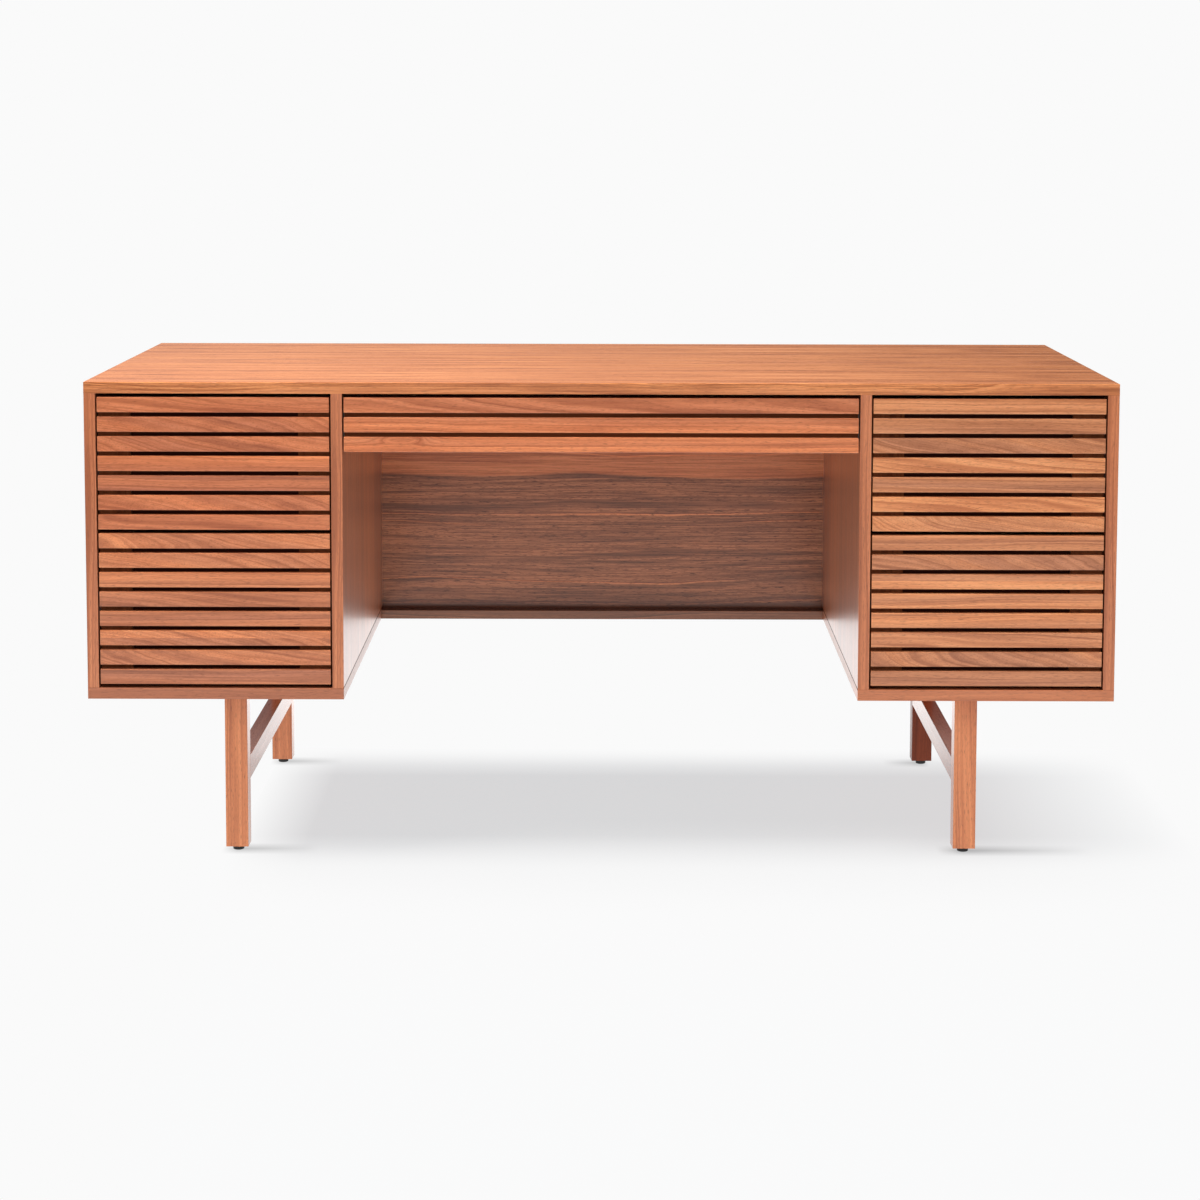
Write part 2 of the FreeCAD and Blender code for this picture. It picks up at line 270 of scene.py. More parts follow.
def make_growth_rings():
    group, given, result = new_group(
        "growth_rings",
        [("Along", "Vector", (0, 0, 0)), ("Ring width", "Float", 0.006), ("Sway", "Float", 0.02),
         ("Knot", "Float", 0.0)],
        [("Ring", "Float"), ("Line", "Float"), ("Band", "Float"), ("Pale", "Float"), ("Early", "Float"),
         ("Radius", "Float")],
    )
    along = split(group, given["Along"])[0]
    radius, years = count_rings(group, given)
    phase = calc(group, "FRACT", years)
    year = calc(group, "FLOOR", years)
    luck = chance(group, year)
    ring = colour_steps(group, phase, [(place, (grey,) * 3) for place, grey in ring_greys])
    strength = calc(group, "MULTIPLY_ADD", luck, 1.0 - faintest_ring, faintest_ring)
    line = noise(group, join(group, calc(group, "MULTIPLY", along, line_rate), years, 0.0), detail=3.0)[0]
    band = noise_line(group, calc(group, "MULTIPLY", years, band_rate), detail=2.0)
    stretch, stride = (calc(group, "MULTIPLY", *pair) for pair in zip((along, year), pale_rates))
    shows = spread(group, noise(group, join(group, stretch, stride, 0.0))[0], *pale_shows)
    off_middle = calc(group, "ABSOLUTE", calc(group, "SUBTRACT", phase, pale_middle))
    pale = calc(group, "MULTIPLY", shows, spread(group, off_middle, *pale_width))
    pale = calc(group, "MULTIPLY", pale, calc(group, "GREATER_THAN", luck, pale_luck))

    group.links.new(calc(group, "MULTIPLY", ring, strength), result["Ring"])
    group.links.new(spread(group, line, *noise_range), result["Line"])
    group.links.new(spread(group, band, *noise_range), result["Band"])
    group.links.new(pale, result["Pale"])
    group.links.new(calc(group, "SUBTRACT", 1.0, phase), result["Early"])
    group.links.new(radius, result["Radius"])
    return group


growth_rings = make_growth_rings()
print("growth_rings:", len(growth_rings.nodes), "nodes")

# %% [markdown]
# ## Fibres and pores
#
# Up close, walnut is a mass of fine fibres with open pores between them: thin dark dashes, a few millimetres
# long, that the lacquer fills. Both are noise stretched along the grain. They give masks for the colour
# and a height for the surface, and every wood of the desk uses them with its own values.

# %% Fibres and pores
fibre_rates = (9.0, 520.0, 520.0)
streak_rates = (2.2, 95.0, 95.0)
pore_rates = (90.0, 1500.0, 1500.0)
pore_limits = (0.63, 0.73)
early_pores = 0.1
fibre_relief = 0.35


def make_fibres():
    group, given, result = new_group(
        "fibres_and_pores",
        [("Along", "Vector", (0, 0, 0)), ("Early", "Float", 0.5)],
        [("Fibre", "Float"), ("Streak", "Float"), ("Pore", "Float"), ("Height", "Float")],
    )

    def stretched(rates, detail):
        return noise(group, calc_vector(group, "MULTIPLY", given["Along"], rates), detail)[0]

    fibre = stretched(fibre_rates, 3.0)
    streak = stretched(streak_rates, 3.0)
    dash = calc(group, "MULTIPLY_ADD", given["Early"], early_pores, stretched(pore_rates, 1.0))
    pore = spread(group, dash, *pore_limits)
    height = calc(group, "MULTIPLY_ADD", fibre, fibre_relief, calc(group, "MULTIPLY", pore, -1.0))
    group.links.new(spread(group, fibre, *noise_range), result["Fibre"])
    group.links.new(spread(group, streak, *noise_range), result["Streak"])
    group.links.new(pore, result["Pore"])
    group.links.new(height, result["Height"])
    return group


fibres_and_pores = make_fibres()
print("fibres_and_pores:", len(fibres_and_pores.nodes), "nodes")

# %% [markdown]
# ## Walnut under satin lacquer
#
# The wood is a warm red brown. Some boards are honey coloured, others are heartwood, duller and darker, and
# the share between the two is each board's own and drifts with its rings. Past a certain distance from the
# heart comes the sapwood, which is lighter and has fewer pores.

# %% Walnut
honey_tones = [(0.0, (0.75, 0.270, 0.112)), (0.45, (0.61, 0.198, 0.078)), (1.0, (0.42, 0.120, 0.046))]
heart_tones = [(0.0, (0.55, 0.193, 0.092)), (0.45, (0.44, 0.145, 0.066)), (1.0, (0.29, 0.090, 0.041))]
umber_tones = [(0.0, (0.52, 0.198, 0.092)), (0.45, (0.35, 0.128, 0.060)), (1.0, (0.17, 0.061, 0.030))]
pore_brown = (0.07, 0.024, 0.015)

# How a board is cut and coated: its rings' width, how far they wander, a knot, how bold its lines are, how
# far its warmth drifts within it and from leaf to leaf, how much warmer its few pale lines are, how much its
# fibres and its pores show, how far from the heart the sapwood starts and how much warmer it is, the two
# tones that the board lies between, how much lacquer it has, and how soft the lacquer's mirror is.
plain_cut = {"ring_width": 0.006, "sway": 0.02, "knot": 0.0, "bold": 1.1, "drift": 0.4, "leaf_drift": 0.0,
             "pale_lines": 0.0, "fibres": 0.12, "pores": 0.4, "sapwood": 9.0, "sap_warmth": 0.0,
             "tones": (heart_tones, honey_tones), "coat": 1.0, "blur": 0.2}
print("a plain cut:", plain_cut)

# %% [markdown]
# A board's figure is a sum: so much of the rings, of the fine lines, of the streaks and of the fibres. The
# sum is centred on the middle of the tones, so that a bolder figure leaves the board as dark as it was.
# Colour, roughness and the pores' small dents all come from the two groups above.

# %% Wood
ring_weight = 0.35
line_weight = 0.4
streak_weight = 0.2
usual_figure = 0.395
middle_tone = 0.45
sap_fade = 0.004
sap_smoothness = 0.7
last_ring_width = 0.006
last_ring_fade = 0.003
last_ring_weight = 0.35
satin_range = (0.34, 0.44)
pore_roughness = 0.2


def wood_look(tree, along, warmth, cut):
    """Cuts a board from the tree, and gives its colour, its roughness and the height of its surface."""
    ring_values = {"Along": along, "Ring width": cut["ring_width"], "Sway": cut["sway"], "Knot": cut["knot"]}
    rings = add_node(tree, "ShaderNodeGroup", ring_values, node_tree=growth_rings).outputs
    grain_values = {"Along": along, "Early": rings["Early"]}
    grain = add_node(tree, "ShaderNodeGroup", grain_values, node_tree=fibres_and_pores).outputs
    figure = calc(tree, "MULTIPLY_ADD", rings["Ring"], ring_weight, -usual_figure - cut["fibres"] / 2)
    figure = calc(tree, "MULTIPLY_ADD", rings["Line"], line_weight, figure)
    figure = calc(tree, "MULTIPLY_ADD", grain["Streak"], streak_weight, figure)
    figure = calc(tree, "MULTIPLY_ADD", grain["Fibre"], cut["fibres"], figure)
    figure = calc(tree, "MULTIPLY_ADD", figure, cut["bold"], middle_tone)
    drift = calc(tree, "MULTIPLY_ADD", rings["Band"], -cut["drift"], cut["drift"] / 2)
    share = calc(tree, "ADD", warmth, drift)
    pores = calc(tree, "MULTIPLY", grain["Pore"], cut["pores"])
    if cut["pale_lines"]:
        share = calc(tree, "MULTIPLY_ADD", rings["Pale"], cut["pale_lines"], share)
    if cut["sap_warmth"]:
        edge = cut["sapwood"]
        sap = spread(tree, rings["Radius"], edge, edge + sap_fade)
        share = calc(tree, "MULTIPLY_ADD", sap, cut["sap_warmth"], share)
        pores = calc(tree, "MULTIPLY_ADD", calc(tree, "MULTIPLY", pores, sap), -sap_smoothness, pores)
        last_ring = spread(tree, rings["Radius"], edge - last_ring_width, edge)
        past_it = spread(tree, rings["Radius"], edge, edge + last_ring_fade)
        last_ring = calc(tree, "SUBTRACT", last_ring, past_it)
        figure = calc(tree, "MULTIPLY_ADD", last_ring, last_ring_weight, figure)
    colour = mix_colour(tree, share, *(colour_steps(tree, figure, steps) for steps in cut["tones"]))
    colour = mix_colour(tree, pores, colour, pore_brown)
    satin = spread(tree, grain["Streak"], 0.0, 1.0, *satin_range)
    roughness = calc(tree, "MULTIPLY_ADD", grain["Pore"], pore_roughness, satin)
    return colour, roughness, grain["Height"]


print("wood ready")

# %% [markdown]
# The lacquer is a clear coat: seen flat on it hardly shows, and seen along the board it mirrors the floor,
# as a real coat does. The pores dent the wood below, and the coat over them stays smooth.

# %% Lacquer
def lacquer(tree, colour, roughness, height, coat=1.0, shine=0.3, blur=plain_cut["blur"]):
    """The lacquered surface: wood below, with its own low shine, and a thin clear coat above."""
    dents = add_node(tree, "ShaderNodeBump", {"Height": height, "Strength": 0.25, "Distance": 0.0002})
    surface = add_node(tree, "ShaderNodeBsdfPrincipled", {
        "Base Color": colour, "Roughness": roughness, "IOR": 1.35, "Normal": dents.outputs[0],
        "Specular IOR Level": shine, "Coat Weight": coat, "Coat Roughness": blur, "Coat IOR": 1.5,
    })
    add_node(tree, "ShaderNodeOutputMaterial", {0: surface.outputs[0]})


print("lacquer ready")

# %% [markdown]
# ## Boards and veneers
#
# A board's material needs to know which way the board lies: which axis the grain follows, and which runs
# across its face. A Mapping node turns the desk's axes into the board's and puts the board beside the heart.
# Wide panels are veneered with several leaves of the same flitch side by side, each turned over against the
# last like the pages of a book, so the figure mirrors at every joint. Their edges and ends are banded with
# strips of the same wood, whose grain follows the edge.

# %% How a board lies
axes = {"x": Vector((1, 0, 0)), "y": Vector((0, 1, 0)), "z": Vector((0, 0, 1))}
facing_limit = 0.7
page_slip = 0.013


def object_place(tree):
    """Where a point of the piece is, in metres from the desk's origin."""
    return add_node(tree, "ShaderNodeTexCoord").outputs["Object"]


def face_normal(tree):
    """Which way a face of the piece looks."""
    return add_node(tree, "ShaderNodeTexCoord").outputs["Normal"]


def lay(tree, node, lie):
    """Turns the desk's axes into a board's: along the grain, across the face and through it."""
    low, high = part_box(node)
    turn = Matrix((axes[lie[0]], axes[lie[1]], axes[lie[0]].cross(axes[lie[1]])))
    shift = -(turn @ ((low + high) / 2))
    values = {"Vector": object_place(tree), "Location": shift, "Rotation": turn.to_euler()}
    return add_node(tree, "ShaderNodeMapping", values).outputs[0]


def faces_along(tree, axis):
    """1 on the faces that look along an axis of the desk, either way, and 0 on the others."""
    facing = split(tree, calc_vector(tree, "ABSOLUTE", face_normal(tree)))["xyz".index(axis)]
    return calc(tree, "GREATER_THAN", facing, facing_limit)


def mix_vector(tree, share, first, second):
    """Mixes two vectors by a share from 0 to 1."""
    values = {0: share, 4: first, 5: second}
    return add_node(tree, "ShaderNodeMix", values, data_type="VECTOR").outputs[1]


def lay_leaves(tree, lying, lie, leaf):
    """Folds a board's axes into veneer leaves, and follows the edge on the board's banded edges and ends."""
    along, across, depth = split(tree, lying)
    page = calc(tree, "FLOOR", calc(tree, "DIVIDE", across, leaf))
    slipped = calc(tree, "MULTIPLY_ADD", page, page_slip, along)
    leaves = join(tree, slipped, calc(tree, "PINGPONG", across, leaf), depth)
    edged = mix_vector(tree, faces_along(tree, lie[1]), leaves, join(tree, along, depth, across))
    return mix_vector(tree, faces_along(tree, lie[0]), edged, join(tree, across, depth, along)), page


print("a board can lie along", ", ".join(axes))

# %% [markdown]
# One function then makes the wood of any board of the case and dresses the board with it. Leaves of a veneer
# differ a little in tone. Where two boards meet in a joint that shows, the joint is a thin dull line, and in
# a deep corner, where light hardly comes, a painted shade darkens the wood.

# %% Dressing a solid
def new_material(name):
    """A material with an empty node tree."""
    material = bpy.data.materials.new(name)
    material.use_nodes = True
    material.node_tree.nodes.clear()
    return material, material.node_tree


def dress(material, *names):
    """Gives CAD nodes their material."""
    for name in names:
        nodes[name].data.materials.clear()
        nodes[name].data.materials.append(material)


print("solids to dress:", len(nodes))

# %% Boards
seam_reach = 0.001
painted_corner_shade = 0.85


def board(name, node, lie, heart, warmth, leaf=0.0, seam=0.0, rear_leaf=None, painted_shade_heights=None, **cut):
    """Walnut for one board. lie is its grain axis and the axis across its face, such as "xz".

    heart is where the tree's middle lies from the board's own middle: along the grain, across the face and
    through it. leaf is the width of a veneer leaf, or nothing for solid wood. seam is the height of the joint
    with the next board, where that shows. rear_leaf is how far from the front's veneer that of the rear face
    was cut, where the two differ. The last argument is the heights between which a painted shade darkens the
    wood into a corner.
    """
    material, tree = new_material(name)
    cut = {**plain_cut, **cut}
    lying = lay(tree, node, lie)
    if rear_leaf:
        rear = calc(tree, "GREATER_THAN", split(tree, face_normal(tree))[1], facing_limit)
        lying = calc_vector(tree, "ADD", lying, calc_vector(tree, "MULTIPLY", rear_leaf, rear))
    if leaf:
        lying, page = lay_leaves(tree, lying, lie, leaf)
        off = calc(tree, "MULTIPLY", calc(tree, "SUBTRACT", chance(tree, page), 0.5), cut["leaf_drift"])
        not_banded = calc(tree, "SUBTRACT", 1.0, faces_along(tree, lie[1]))
        warmth = calc(tree, "MULTIPLY_ADD", off, not_banded, warmth)
    from_heart = calc_vector(tree, "SUBTRACT", lying, heart)
    colour, roughness, height = wood_look(tree, from_heart, warmth, cut)
    coat = cut["coat"]
    # Painted shade: the wood darkens towards the corner, as if in shadow.
    if painted_shade_heights:
        shade = spread(tree, split(tree, object_place(tree))[2], *painted_shade_heights)
        shade = calc(tree, "MULTIPLY", calc(tree, "MULTIPLY", shade, shade), painted_corner_shade)
        colour = mix_colour(tree, shade, colour, pore_brown)
    if seam:
        above = calc(tree, "SUBTRACT", split(tree, object_place(tree))[2], seam)
        groove = calc(tree, "LESS_THAN", calc(tree, "ABSOLUTE", above), seam_reach)
        groove = calc(tree, "MULTIPLY", groove, faces_along(tree, "x"))
        colour = mix_colour(tree, groove, colour, pore_brown)
        roughness = calc(tree, "MAXIMUM", roughness, groove)
        coat = calc(tree, "MULTIPLY_ADD", groove, -coat, coat)
    lacquer(tree, colour, roughness, height, coat, blur=cut["blur"])
    dress(material, node)


print("boards ready")

# %% [markdown]
# ## The case
#
# Top, sides, bottoms, backs, legs and stretchers keep their solids, whose shape is right, and only get their
# wood. The top has its grain across the desk, in broad leaves with a bold figure.

# %% Top
amber_tones = [(0.0, (0.77, 0.295, 0.103)), (0.45, (0.61, 0.208, 0.066)), (1.0, (0.36, 0.107, 0.034))]
top_leaf = 0.254
board("top_veneer", "desk_top", "xy", (0.9, 1.1, -0.5), 0.8, top_leaf, ring_width=0.007, sway=0.05, bold=2.6,
      fibres=0.3, tones=(heart_tones, amber_tones))
print("top dressed")

# %% [markdown]
# The sides of a pedestal have their grain upright, and the bottom has it across the desk. The bottom runs
# under the sides, so its joint line shows low on them. The kneehole's sides and the bottoms mirror the floor
# a little more softly than the rest. The backs are a browner veneer. The boards of both pedestals come from
# the same tree, those on the right hand further along it.

# %% Pedestals
hands = {"left": 0.0, "right": 1.3}
bottom_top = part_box("left_bottom_panel")[1].z
pedestal_leaf = 0.19
side_warmth = 0.55
side_blurs = {"outer": plain_cut["blur"], "inner": 0.29}
bottom_blur = 0.36
brown = (umber_tones, honey_tones)
for hand, start in hands.items():
    for place, blur in side_blurs.items():
        side = f"{hand}_{place}_side"
        board(side + "_veneer", side, "zy", (start + 0.55, -0.35, -0.3), side_warmth, pedestal_leaf,
              bottom_top, bold=1.6, leaf_drift=1.4, blur=blur)
    bottom = f"{hand}_bottom_panel"
    board(bottom + "_veneer", bottom, "xy", (start, 0.3, -0.2), start / 2 - 0.1, pedestal_leaf, bottom_top,
          blur=bottom_blur)
    board(f"{hand}_back_veneer", f"{hand}_back_panel", "xz", (start, 0.1, 0.15), 0.15, ring_width=0.007,
          sway=0.03, bold=2.3, drift=0.2, fibres=0.35, pores=0.9, tones=brown)
print("pedestals dressed:", ", ".join(hands))

# %% [markdown]
# Legs are solid and upright, of light, straight wood, and the stretchers between them run from front to
# back. One leg is much darker: partly a darker board, and partly a painted shade for the desk's shadow on it.

# %% Legs and stretchers
leg_warmth = 1.35
leg_starts = {"front": 1.35, "rear": 1.95}
dark_and_shaded_leg = "rear_right_leg"
dark_and_shaded_leg_tones = [(0.0, (0.27, 0.055, 0.018)), (1.0, (0.14, 0.028, 0.010))]
dark_and_shaded_leg_coat = 0.3
for hand, start in hands.items():
    board(f"{hand}_stretcher_wood", f"{hand}_stretcher", "yz", (start, 0.1, 0.12), 0.3)
    for end, leg_start in leg_starts.items():
        leg = f"{end}_{hand}_leg"
        finish = {}
        # Partly painted shade: this leg's dark tones and thin coat also stand for the shadow it stands in.
        if leg == dark_and_shaded_leg:
            finish = {"tones": (dark_and_shaded_leg_tones, dark_and_shaded_leg_tones), "coat": dark_and_shaded_leg_coat}
        board(leg + "_wood", leg, "zx", (start + leg_start, 0.11, 0.09), leg_warmth, ring_width=0.004,
              sway=0.012, bold=1.7, **finish)
print("legs and stretchers dressed, the dark one:", dark_and_shaded_leg)

# %% [markdown]
# The panel behind the kneehole is the same brown as the backs, with a few pale lines and with a lighter,
# redder strip of sapwood along its upper part, which its rear face doesn't have. A painted shade darkens it
# into the corner with the rail that stands before its foot, and darkens the rail's top face.

# %% Modesty panel and rail
rail_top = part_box("modesty_rail")[1].z
corner_reach = 0.04
rail_corner_reach = 0.001
board("modesty_veneer", "modesty_panel", "xz", (0.2, -0.45, 0.12), 0.05, rear_leaf=(0.0, -0.3, 0.0),
      painted_shade_heights=(rail_top + corner_reach, rail_top), ring_width=0.007, sway=0.03, bold=1.9, drift=0.2,
      pale_lines=1.4, fibres=0.5, pores=0.9, sapwood=0.472, sap_warmth=1.2, tones=brown)
# Painted shade: the rail's top face is darkened, as if in the corner's shadow.
board("modesty_rail_wood", "modesty_rail", "xz", (0.5, 0.2, 0.1), -0.3,
      painted_shade_heights=(rail_top - rail_corner_reach, rail_top), tones=brown)
print("modesty panel and rail dressed, rail", round(rail_top, 3), "m high")

# %% [markdown]
# ## The slats
#
# Each drawer front is a rack of slats with gaps between them, and no two slats come from the same board.
# They repeat, so they are made with Geometry Nodes. Points stand where the slats go, and each point says
# what sort of strip it wants. The tree puts one strip on each point and stores two things on it: a point's
# place within its strip, and where in the trunk the strip was cut. The wood reads both, so every slat shows
# another piece of the tree.

# %% Slat tree
lowest_cut = (-9.0, 0.8, 0.8)
highest_cut = (9.0, 1.2, 1.2)


def make_slat_tree():
    tree = bpy.data.node_groups.new("slat_rack", "GeometryNodeTree")
    sockets = [("Points", "Geometry"), ("Length", "Float"), ("Thickness", "Float"), ("Height", "Float"),
               ("Seed", "Int"), ("Wood", "Material")]
    for label, kind in sockets:
        tree.interface.new_socket(label, in_out="INPUT", socket_type="NodeSocket" + kind)
    tree.interface.new_socket("Slats", in_out="OUTPUT", socket_type="NodeSocketGeometry")
    given = tree.nodes.new("NodeGroupInput").outputs
    result = tree.nodes.new("NodeGroupOutput").inputs

    def store(geometry, name, vector, domain):
        values = {"Geometry": geometry, "Name": name}
        options = {"data_type": "FLOAT_VECTOR", "domain": domain}
        node = add_node(tree, "GeometryNodeStoreNamedAttribute", values, **options)
        tree.links.new(vector, node.inputs["Value"])
        return node.outputs[0]

    def wished(name):
        values = {"Name": name}
        return add_node(tree, "GeometryNodeInputNamedAttribute", values, data_type="FLOAT").outputs[0]

    size = join(tree, given["Length"], given["Thickness"], given["Height"])
    strip = add_node(tree, "GeometryNodeMeshCube", {"Size": size}).outputs[0]
    strip = store(strip, "within", tree.nodes.new("GeometryNodeInputPosition").outputs[0], "POINT")
    rack = add_node(tree, "GeometryNodeInstanceOnPoints", {"Points": given["Points"], "Instance": strip})
    draw = {"Min": lowest_cut, "Max": highest_cut, "Seed": given["Seed"]}
    luck = add_node(tree, "FunctionNodeRandomValue", draw, data_type="FLOAT_VECTOR").outputs[0]
    cut = calc_vector(tree, "MULTIPLY", luck, join(tree, 1.0, wished("beside"), wished("behind")))
    rack = store(rack.outputs[0], "cut", cut, "INSTANCE")
    real = add_node(tree, "GeometryNodeRealizeInstances", {"Geometry": rack}).outputs[0]
    wooden = add_node(tree, "GeometryNodeSetMaterial", {"Geometry": real, "Material": given["Wood"]})
    tree.links.new(wooden.outputs[0], result["Slats"])
    return tree


slat_tree = make_slat_tree()
print("slat tree:", len(slat_tree.nodes), "nodes")

# %% [markdown]
# All the slats share one wood. It takes the cut, the slant and the tone of a slat from what the tree and the
# points stored, so one material gives every slat its own figure. A few slats are glued up from two strips,
# one light and one dark, so above the glue line the wood comes from another part of the trunk. Near a knot
# the rings bulge and the wood is darker.

# %% Slat wood
slat_height = 0.024
next_board = (2.7, 0.06, 0.03)
knot_reach = (0.040, 0.010)
knot_rings = 4.0
knot_warmth = -0.7
blue_pallor = 1.2


def make_slat_wood():
    material, tree = new_material("slat_walnut")

    def stored(name, output="Fac"):
        return add_node(tree, "ShaderNodeAttribute", attribute_name=name).outputs[output]

    length, thickness, height = split(tree, stored("within", "Vector"))
    lying = join(tree, length, height, calc(tree, "MULTIPLY_ADD", length, stored("slant"), thickness))
    upper_strip = calc(tree, "GREATER_THAN", height, stored("glue"))
    along = calc_vector(tree, "ADD", lying, stored("cut", "Vector"))
    along = calc_vector(tree, "ADD", along, calc_vector(tree, "MULTIPLY", next_board, upper_strip))
    step = calc(tree, "SUBTRACT", stored("upper_tone"), stored("tone"))
    warmth = calc(tree, "MULTIPLY_ADD", step, upper_strip, stored("tone"))
    beside_knot = calc(tree, "DIVIDE", calc(tree, "SUBTRACT", length, stored("knot")), knot_reach[0])
    over_knot = calc(tree, "DIVIDE", calc(tree, "SUBTRACT", height, slat_height / 2), knot_reach[1])
    away = calc(tree, "MULTIPLY", over_knot, over_knot)
    away = calc(tree, "MULTIPLY_ADD", beside_knot, beside_knot, away)
    near_knot = calc(tree, "DIVIDE", 1.0, calc(tree, "ADD", calc(tree, "MULTIPLY", away, away), 1.0))
    knot = calc(tree, "MULTIPLY", near_knot, knot_rings)
    warmth = calc(tree, "MULTIPLY_ADD", near_knot, knot_warmth, warmth)
    cut = {**plain_cut, "ring_width": 0.0045, "knot": knot, "bold": 1.9, "drift": 1.2}
    colour, roughness, relief = wood_look(tree, along, warmth, cut)
    green = calc(tree, "ADD", stored("pallor"), 1.0)
    blue = calc(tree, "MULTIPLY_ADD", stored("pallor"), blue_pallor, 1.0)
    colour = calc_vector(tree, "MULTIPLY", colour, join(tree, 1.0, green, blue))
    lacquer(tree, colour, roughness, relief)
    return material


slat_walnut = make_slat_wood()
print(slat_walnut.name, len(slat_walnut.node_tree.nodes), "nodes")

# %% [markdown]
# What each slat is like is listed: how straight its figure is and how warm its colour, from the top slat
# of every front to its lowest one. The heart of a straight slat lies well to one side, that of a flamed one
# close behind, and that of a smoky one at a slant. Where two more numbers follow, the slat is glued up, and
# they are the upper strip's warmth and the joint's height. One slat has a knot on its upper edge. The right
# hand drawers come from a paler, yellower tree than the others, and each drawer has one pallor.

# %% Slat plans
slat_kinds = {  # the heart's place beside and behind the slat, and its slant
    "straight": (0.20, 0.05, 0.015),
    "flamed": (0.035, 0.06, 0.05),
    "smoky": (0.065, 0.09, 0.22),
}
slat_plans = {
    "left_upper_drawer": [
        ("flamed", 0.55), ("smoky", 0.4), ("smoky", 0.37), ("straight", 1.05), ("straight", 0.2),
        ("smoky", 0.6), ("flamed", 0.53)],
    "left_lower_drawer": [
        ("smoky", 0.63), ("smoky", 0.7), ("straight", 0.7, 1.2, 0.4), ("flamed", 0.33), ("straight", 0.65),
        ("smoky", 0.35, 1.3, 0.5), ("smoky", 0.55), ("straight", 0.3)],
    "right_upper_drawer": [
        ("straight", 1.0), ("straight", 0.5), ("smoky", 0.3), ("flamed", 1.15), ("straight", 0.6),
        ("flamed", 1.45), ("smoky", 0.95)],
    "right_lower_drawer": [
        ("straight", 0.6), ("smoky", 0.25), ("straight", 1.6, 0.8, 0.55), ("straight", 1.15),
        ("straight", 1.3), ("flamed", 0.65), ("smoky", 0.35), ("straight", 0.25)],
    "centre_drawer": [("flamed", 0.33), ("straight", 1.1), ("straight", 1.2)],
}
pallors = {"left_upper_drawer": -0.07, "left_lower_drawer": 0.0, "right_upper_drawer": 0.15,
           "right_lower_drawer": 0.13, "centre_drawer": -0.06}
knot_places = {("centre_drawer", 2): -0.312}
print({drawer: len(plan) for drawer, plan in slat_plans.items()})

# %% [markdown]
# A tree of Geometry Nodes works as a modifier. Its inputs are set, it is evaluated once, and the result is
# kept as a plain mesh, because the desk is handed over as meshes.

# %% Growing on points
def grow(name, points, tree, sizes):
    """Runs a Geometry Nodes tree on points and keeps the result as a plain mesh."""
    holder = put(name + "_points", points)
    modifier = holder.modifiers.new("grow", "NODES")
    modifier.node_group = tree
    for item in tree.interface.items_tree:
        if item.in_out == "INPUT" and item.name in sizes:
            modifier[item.identifier] = sizes[item.name]
    graph = bpy.context.evaluated_depsgraph_get()
    grown = holder.evaluated_get(graph)
    mesh = bpy.data.meshes.new_from_object(grown, preserve_all_data_layers=True, depsgraph=graph)
    bpy.data.objects.remove(holder)
    return put(name, mesh)


print("growing ready")

# %% [markdown]
# The plans become points, one for the middle of each slat, with the slat's wishes stored on it. Every other
# slat is turned over.

# %% Points for the slats
no_knot = 9.0
no_glue = 2.0


def slat_points(drawer, plan, low, high):
    middle = (low + high) / 2
    pitch = (high.z - low.z - slat_height) / (len(plan) - 1)
    top_row = high.z - slat_height / 2
    points = bpy.data.meshes.new(drawer + "_slats_points")
    points.from_pydata([(middle.x, middle.y, top_row - pitch * row) for row in range(len(plan))], [], [])
    labels = ("tone", "upper_tone", "glue", "beside", "behind", "slant", "knot", "pallor")
    wishes = {label: [] for label in labels}
    for row, (kind, tone, *glued) in enumerate(plan):
        upper_tone, share = glued or (tone, no_glue)
        beside, behind, slant = slat_kinds[kind]
        turn = 1 if row % 2 else -1
        knot = knot_places.get((drawer, row), no_knot)
        glue = (share - 0.5) * slat_height
        values = (tone, upper_tone, glue, beside * turn, behind, slant * turn, knot, pallors[drawer])
        for wish, value in zip(wishes.values(), values):
            wish.append(value)
    for label, values in wishes.items():
        points.attributes.new(label, "FLOAT", "POINT").data.foreach_set("value", values)
    return points


print("points for", sum(len(plan) for plan in slat_plans.values()), "slats")

# %% [markdown]
# The tree then grows a rack of slats on the points of each drawer, and a Bevel modifier eases the slats'
# edges, because a sharp edge catches no light. The racks take the place of the plain slats and ride on the
# same drawers.

# %% Slats of every drawer
slat_ease = 0.0007
first_seed = 11


def rack_of_slats(drawer, plan, seed):
    node = drawer + "_slats"
    low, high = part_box(node)
    points = slat_points(drawer, plan, low, high)
    piece = grow(drawer + "_front_slats", points, slat_tree, {
        "Length": high.x - low.x, "Thickness": high.y - low.y, "Height": slat_height, "Seed": seed,
        "Wood": slat_walnut,
    })
    bevel = piece.modifiers.new("eased_edges", "BEVEL")
    bevel.width = slat_ease
    bevel.segments = 2
    bevel.limit_method = "ANGLE"
    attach(piece, drawer)
    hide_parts(node)
    return piece


for number, (drawer, plan) in enumerate(slat_plans.items()):
    piece = rack_of_slats(drawer, plan, first_seed + number)
    print(piece.name, len(piece.data.polygons), "faces")

# %% [markdown]
# Behind the slat ends stand stiles, and behind the slats of the shallow drawer a whole panel. Both are a dark
# brown and left dull; the dark brown is a painted shade, so that the gaps read as dark lines.

